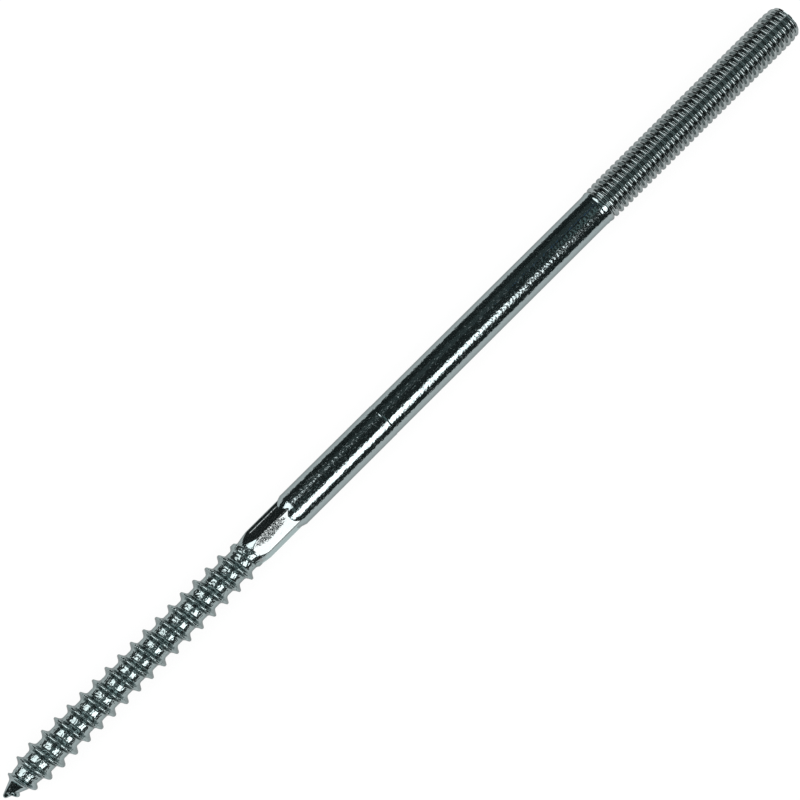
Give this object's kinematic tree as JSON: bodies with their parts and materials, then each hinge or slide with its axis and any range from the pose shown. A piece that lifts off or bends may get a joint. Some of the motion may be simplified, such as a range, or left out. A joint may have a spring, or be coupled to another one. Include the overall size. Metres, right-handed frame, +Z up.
{
  "type": "hanger bolt",
  "caption": "Long headless bolt with a pointed wood screw thread at one end, a pressed hexagon drive, a plain shank and a machine thread at the other end.",
  "frame": {"origin": "middle of the bolt's length, under its axis, at the height of the surface it lies on", "axes": "+X along the bolt from its gimlet point towards its machine thread, +Y across it, +Z up; the bolt lies on its side"},
  "size_m": [0.16, 0.006, 0.006],
  "materials": {
    "zinc_plate": "bright zinc plate"
  },
  "bodies": {
    "root": {"hanger_bolt": "zinc_plate"}
  },
  "joints": []
}
